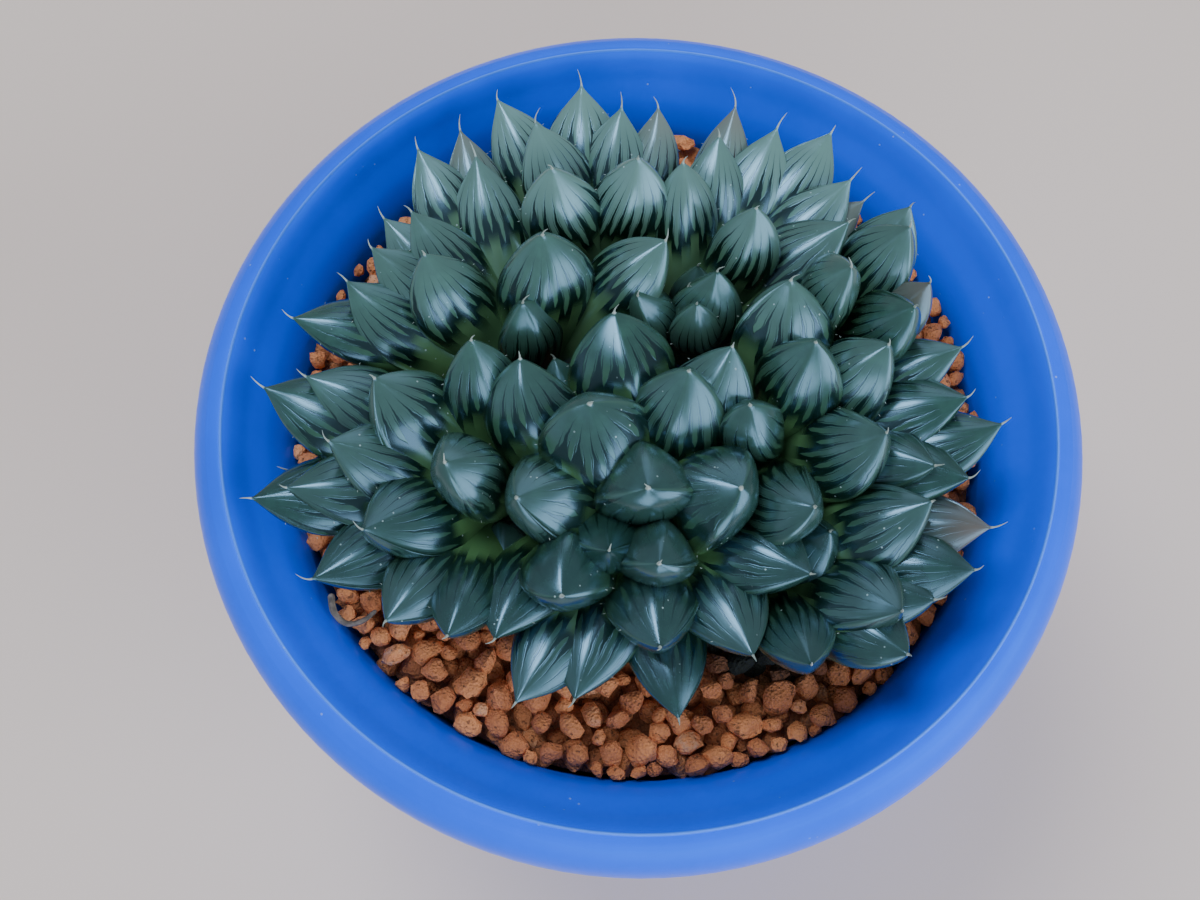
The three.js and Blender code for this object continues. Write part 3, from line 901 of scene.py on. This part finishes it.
class LeafLine:
    """The middle line of one leaf, from its root at the stem out and up to its tip."""

    def __init__(self, stem, leaf, top, tip_height):
        x, y = leaf[:2]
        lower = leaf[3] if len(leaf) > 3 else 0
        away = Vector((x - stem[0], y - stem[1]))
        reach = away.length
        from_axis = math.hypot(x, y) / 48
        from_stem = min(reach / 25, 1)
        rise = tip_height - 6.5 * from_axis ** 2 - 5 * from_stem ** 2 - lower
        upright = min(max((22 - reach) / 13, 0), 1)
        self.facing = away.normalized()
        if len(leaf) > 4:
            self.facing = Vector((math.cos(math.radians(leaf[4])), math.sin(math.radians(leaf[4]))))
        near = min(max((26 - reach) / 13, 0), 1)
        front = min(max(0.35 - 0.75 * self.facing.y, 0), 1)
        self.blunt = leaf[5] if len(leaf) > 5 else near * front
        self.root = Vector((stem[0], stem[1], top - 7))
        self.tip = Vector((x, y, top + rise))
        held = reach * (0.38 - 0.32 * upright)
        level = Vector((x, y)) - self.facing * held
        self.bend = Vector((level.x, level.y,
                            self.root.z + (self.tip.z - self.root.z) * 0.3))
        self.leaving = (level - Vector(stem)).normalized()
        samples = [self.point(step / LINE_STEPS) for step in range(LINE_STEPS + 1)]
        self.marks = [0.0]
        for before, after in zip(samples, samples[1:]):
            self.marks.append(self.marks[-1] + (after - before).length)
        self.length = self.marks[-1]
        self.blade = min(self.length, BLADE_MAX)

    def point(self, t):
        return (self.root * (1 - t) ** 2 + self.bend * 2 * t * (1 - t) + self.tip * t ** 2)

    def share(self, back):
        """The line's parameter at a distance back from the tip, in millimetres."""
        wanted = max(self.length - back, 0)
        for step in range(LINE_STEPS):
            if self.marks[step + 1] >= wanted:
                span = self.marks[step + 1] - self.marks[step]
                return (step + (wanted - self.marks[step]) / span) / LINE_STEPS
        return 1.0

    def axes(self, back, roll):
        """At a distance back from the tip: the middle, and the ways on, across and up."""
        t = self.share(back)
        on = ((self.bend - self.root) * (1 - t) + (self.tip - self.bend) * t).normalized()
        level = self.leaving.lerp(self.facing, 1 - back / self.length).normalized()
        across = Matrix.Rotation(roll, 3, on) @ Vector((-level.y, level.x, 0))
        return self.point(t), on, across, on.cross(across).normalized()


def grow_leaf(shape, layers, stem, leaf, seed, settings, top):
    """One leaf: a closed skin of sixteen-cornered rings that ends in a curved awn."""
    line = LeafLine(stem, leaf, top, settings.tip_height)
    roll = (chance(seed) - 0.5) * 0.3
    width = leaf[2]
    thickness = width * settings.thickness
    tint = chance(seed + 0.37)
    x, y = leaf[:2]
    # Painted sheen pales the leaves toward the back; a quarter of it is a random tone.
    pale = min(max((y - 8) / 32, 0), 1) * 0.75 + 0.25 * chance(seed + 0.71)
    rust = 0.55 + 0.35 * tint if (x, y) in RUSTY else 0.0
    clear = line.blunt * min(max(-line.facing.y * 1.6 - 0.4, 0), 1)
    skin = Rings(shape, len(SECTION))
    marks = []

    for (along, *keen), full in zip(BLADE, BLUNT):
        wide, crown, belly, ridge = (
            a + (b - a) * line.blunt for a, b in zip(keen, full))
        back = line.length if along == 1.0 else along * line.blade
        centre, _, turned, upward = line.axes(back, roll)
        margin = crown - (crown + belly) * (0.4 + 0.3 * line.blunt)
        places = []
        for u, round_share, ridge_share in SECTION:
            ripple = 1 + 0.05 * noise.noise(Vector((u * 1.2, along * 4.0, seed * 1.7)))
            share = round_share * (1 - ridge) + ridge_share * ridge
            span = crown - margin if share > 0 else margin + belly
            places.append(centre + turned * (u * wide * width / 2 * ripple)
                          + upward * ((margin + share * span) * thickness * ripple))
        skin.add(places)
        marks.append(along)

    _, tangent, turned, upward = line.axes(0.0, roll)
    awn = settings.awn * (0.6 + 0.8 * chance(seed + 0.53)) * (1 - 0.5 * line.blunt)
    sway = turned * (chance(seed + 0.19) - 0.5) * 1.6 + upward * (0.2 + 0.6 * chance(seed + 0.9))
    for share in AWN_STEPS:
        centre = line.tip + tangent * awn * share + sway * awn * 0.5 * share ** 2
        radius = AWN_ROOT_RADIUS * (1 - share) ** 0.7 + AWN_END_RADIUS
        skin.add([centre + turned * (u * radius) + upward * (v * radius)
                  for u, v, _ in SECTION])
        marks.append(-0.2 * share)
    skin.close()

    for along, ring in zip(marks, skin.rings):
        over = (ring[RIDGE].co - line.tip).length / BLADE_MAX if along > 0 else along
        under = (ring[KEEL].co - line.tip).length / BLADE_MAX if along > 0 else along
        for (u, v, _), vert in zip(SECTION, ring):
            vert[layers["across"]] = u
            vert[layers["face"]] = v
            vert[layers["along"]] = over if v >= 0 else over + (under - over) * min(-2 * v, 1)
            vert[layers["tint"]] = tint
            vert[layers["pale"]] = pale
            vert[layers["rust"]] = rust
            vert[layers["clear"]] = clear if v > 0 else 0.0
            vert[layers["blunt"]] = line.blunt
    for index, (before, after) in enumerate(zip(skin.rings, skin.rings[1:])):
        near_tip = index / len(BLADE)
        for corner, hold in ((MARGINS[0], 0.4), (MARGINS[1], 0.4), (RIDGE, 0.35), (KEEL, 0.3)):
            edge = shape.edges.get((before[corner], after[corner]))
            if edge:
                edge[layers["crease"]] = hold * min(near_tip * 1.6, 1)
    add_teeth(shape, layers, skin, seed)


def add_teeth(shape, layers, skin, seed):
    """A few tiny pale teeth along both margins near the tip."""
    for corner in MARGINS:
        for ring in range(4, len(BLADE) - 4):
            if chance(seed * 3.1 + ring * 0.77 + corner) < 0.72:
                continue
            here = skin.rings[ring][corner].co
            inner = skin.rings[ring][KEEL].co.lerp(skin.rings[ring][RIDGE].co, 0.5)
            away = (here - inner).normalized()
            made = bmesh.ops.create_cone(shape, cap_ends=True, segments=4, radius1=0.09,
                                         radius2=0.02, depth=0.42)
            turn = Vector((0, 0, 1)).rotation_difference(away).to_matrix()
            bmesh.ops.rotate(shape, verts=made["verts"], cent=(0, 0, 0), matrix=turn)
            bmesh.ops.translate(shape, verts=made["verts"], vec=here + away * 0.05)
            for vert in made["verts"]:
                vert[layers["along"]] = -0.2
                vert[layers["face"]] = 0.2


class HAWORTHIA_OT_heads(bpy.types.Operator):
    """Grows every head of leaves on its stem"""

    bl_idname = "haworthia.heads"
    bl_label = "Leaf heads"

    def execute(self, context):
        settings = context.scene.haworthia_leaf
        top = context.scene.haworthia_pot.height
        skin = paint_leaf(settings)
        for order, (node, (stem, leaves)) in enumerate(HEADS.items()):
            shape = bmesh.new()
            layers = {name: shape.verts.layers.float.new(name) for name in LEAF_LAYERS}
            layers["crease"] = shape.edges.layers.float.new("crease_edge")
            shape.verts.layers.int.new("corner")
            for index, leaf in enumerate(leaves):
                grow_leaf(shape, layers, stem, leaf, order * 40 + index + 1, settings, top)
            made = bmesh.ops.create_cone(
                shape, cap_ends=True, segments=16, radius1=STEM_RADIUS,
                radius2=STEM_RADIUS + 0.2, depth=20.5)
            bmesh.ops.translate(shape, verts=made["verts"], vec=(stem[0], stem[1], top - 14.5))
            for vert in made["verts"]:
                vert[layers["along"]] = 2.0
            shape.verts.layers.int.remove(shape.verts.layers.int["corner"])
            finish_piece(shape, node.replace("head", "leaves"), [skin], node, smooth=1)
        return {"FINISHED"}


class HAWORTHIA_OT_stage(bpy.types.Operator):
    """Sets the pale floor, the soft light and the camera"""

    bl_idname = "haworthia.stage"
    bl_label = "Stage"

    def execute(self, context):
        scene = context.scene
        settings = scene.haworthia_stage
        rim = scene.haworthia_pot.height * MM
        shape = bmesh.new()
        bmesh.ops.create_grid(shape, x_segments=4, y_segments=4, size=2.0)
        mesh = bpy.data.meshes.new("pale_floor")
        shape.to_mesh(mesh)
        shape.free()
        mesh.materials.append(paint_floor(settings))
        floor = bpy.data.objects.new("pale_floor", mesh)
        scene.collection.objects.link(floor)

        world = bpy.data.worlds.new("soft_sky")
        world.use_nodes = True
        sky = world.node_tree.nodes["Background"]
        sky.inputs["Color"].default_value = SKY_COLOUR
        sky.inputs["Strength"].default_value = settings.sky
        scene.world = world

        middle = Vector((0, 0, rim))
        for name, spot, size, power in SOFTBOXES:
            lamp = bpy.data.lights.new(name, "AREA")
            lamp.shape = "DISK"
            lamp.size = size
            lamp.energy = settings.lamp * power
            lamp.color = LAMP_COLOUR
            hung = bpy.data.objects.new(name, lamp)
            hung.location = spot
            hung.rotation_euler = (Vector(spot) - middle).to_track_quat("Z", "Y").to_euler()
            scene.collection.objects.link(hung)

        eye = Vector(EYE) * MM + middle
        mark = Vector(MARK) * MM + middle
        back = (eye - mark).normalized()
        right = Vector((1, 0, 0))
        rise = back.cross(right)
        tilt = math.radians(CAMERA_ROLL)
        turned = right * math.cos(tilt) + rise * math.sin(tilt)
        stood = rise * math.cos(tilt) - right * math.sin(tilt)
        lens = bpy.data.cameras.new("camera")
        lens.lens = settings.lens
        lens.sensor_width = 36
        lens.clip_start = 0.005
        camera = bpy.data.objects.new("camera", lens)
        camera.matrix_world = Matrix.Translation(eye) @ Matrix(
            (turned, stood, back)).transposed().to_4x4()
        scene.collection.objects.link(camera)
        scene.camera = camera
        return {"FINISHED"}


class HAWORTHIA_PT_pieces(bpy.types.Panel):
    """Lists the pieces of the potted haworthia"""

    bl_label = "Potted haworthia"
    bl_idname = "HAWORTHIA_PT_pieces"
    bl_space_type = "VIEW_3D"
    bl_region_type = "UI"
    bl_category = "Haworthia"

    def draw(self, context):
        for operator, group in PIECES:
            box = self.layout.box()
            box.operator(operator.bl_idname)
            settings = getattr(context.scene, group)
            for key in type(settings).__annotations__:
                box.prop(settings, key)


GROUPS = {
    "haworthia_pot": PotSettings,
    "haworthia_grains": GrainSettings,
    "haworthia_leaf": LeafSettings,
    "haworthia_root": RootSettings,
    "haworthia_stage": StageSettings,
}
PIECES = (
    (HAWORTHIA_OT_pot, "haworthia_pot"),
    (HAWORTHIA_OT_grains, "haworthia_grains"),
    (HAWORTHIA_OT_heads, "haworthia_leaf"),
    (HAWORTHIA_OT_dried_root, "haworthia_root"),
    (HAWORTHIA_OT_stage, "haworthia_stage"),
)


def register():
    for name, group in GROUPS.items():
        bpy.utils.register_class(group)
        setattr(bpy.types.Scene, name, bpy.props.PointerProperty(type=group))
    for operator, _ in PIECES:
        bpy.utils.register_class(operator)
    bpy.utils.register_class(HAWORTHIA_PT_pieces)


def unregister():
    bpy.utils.unregister_class(HAWORTHIA_PT_pieces)
    for operator, _ in reversed(PIECES):
        bpy.utils.unregister_class(operator)
    for name, group in reversed(GROUPS.items()):
        delattr(bpy.types.Scene, name)
        bpy.utils.unregister_class(group)


def main():
    register()
    bpy.ops.haworthia.pot()
    bpy.ops.haworthia.grains()
    bpy.ops.haworthia.heads()
    bpy.ops.haworthia.dried_root()
    bpy.ops.haworthia.stage()


if __name__ == "__main__":
    main()
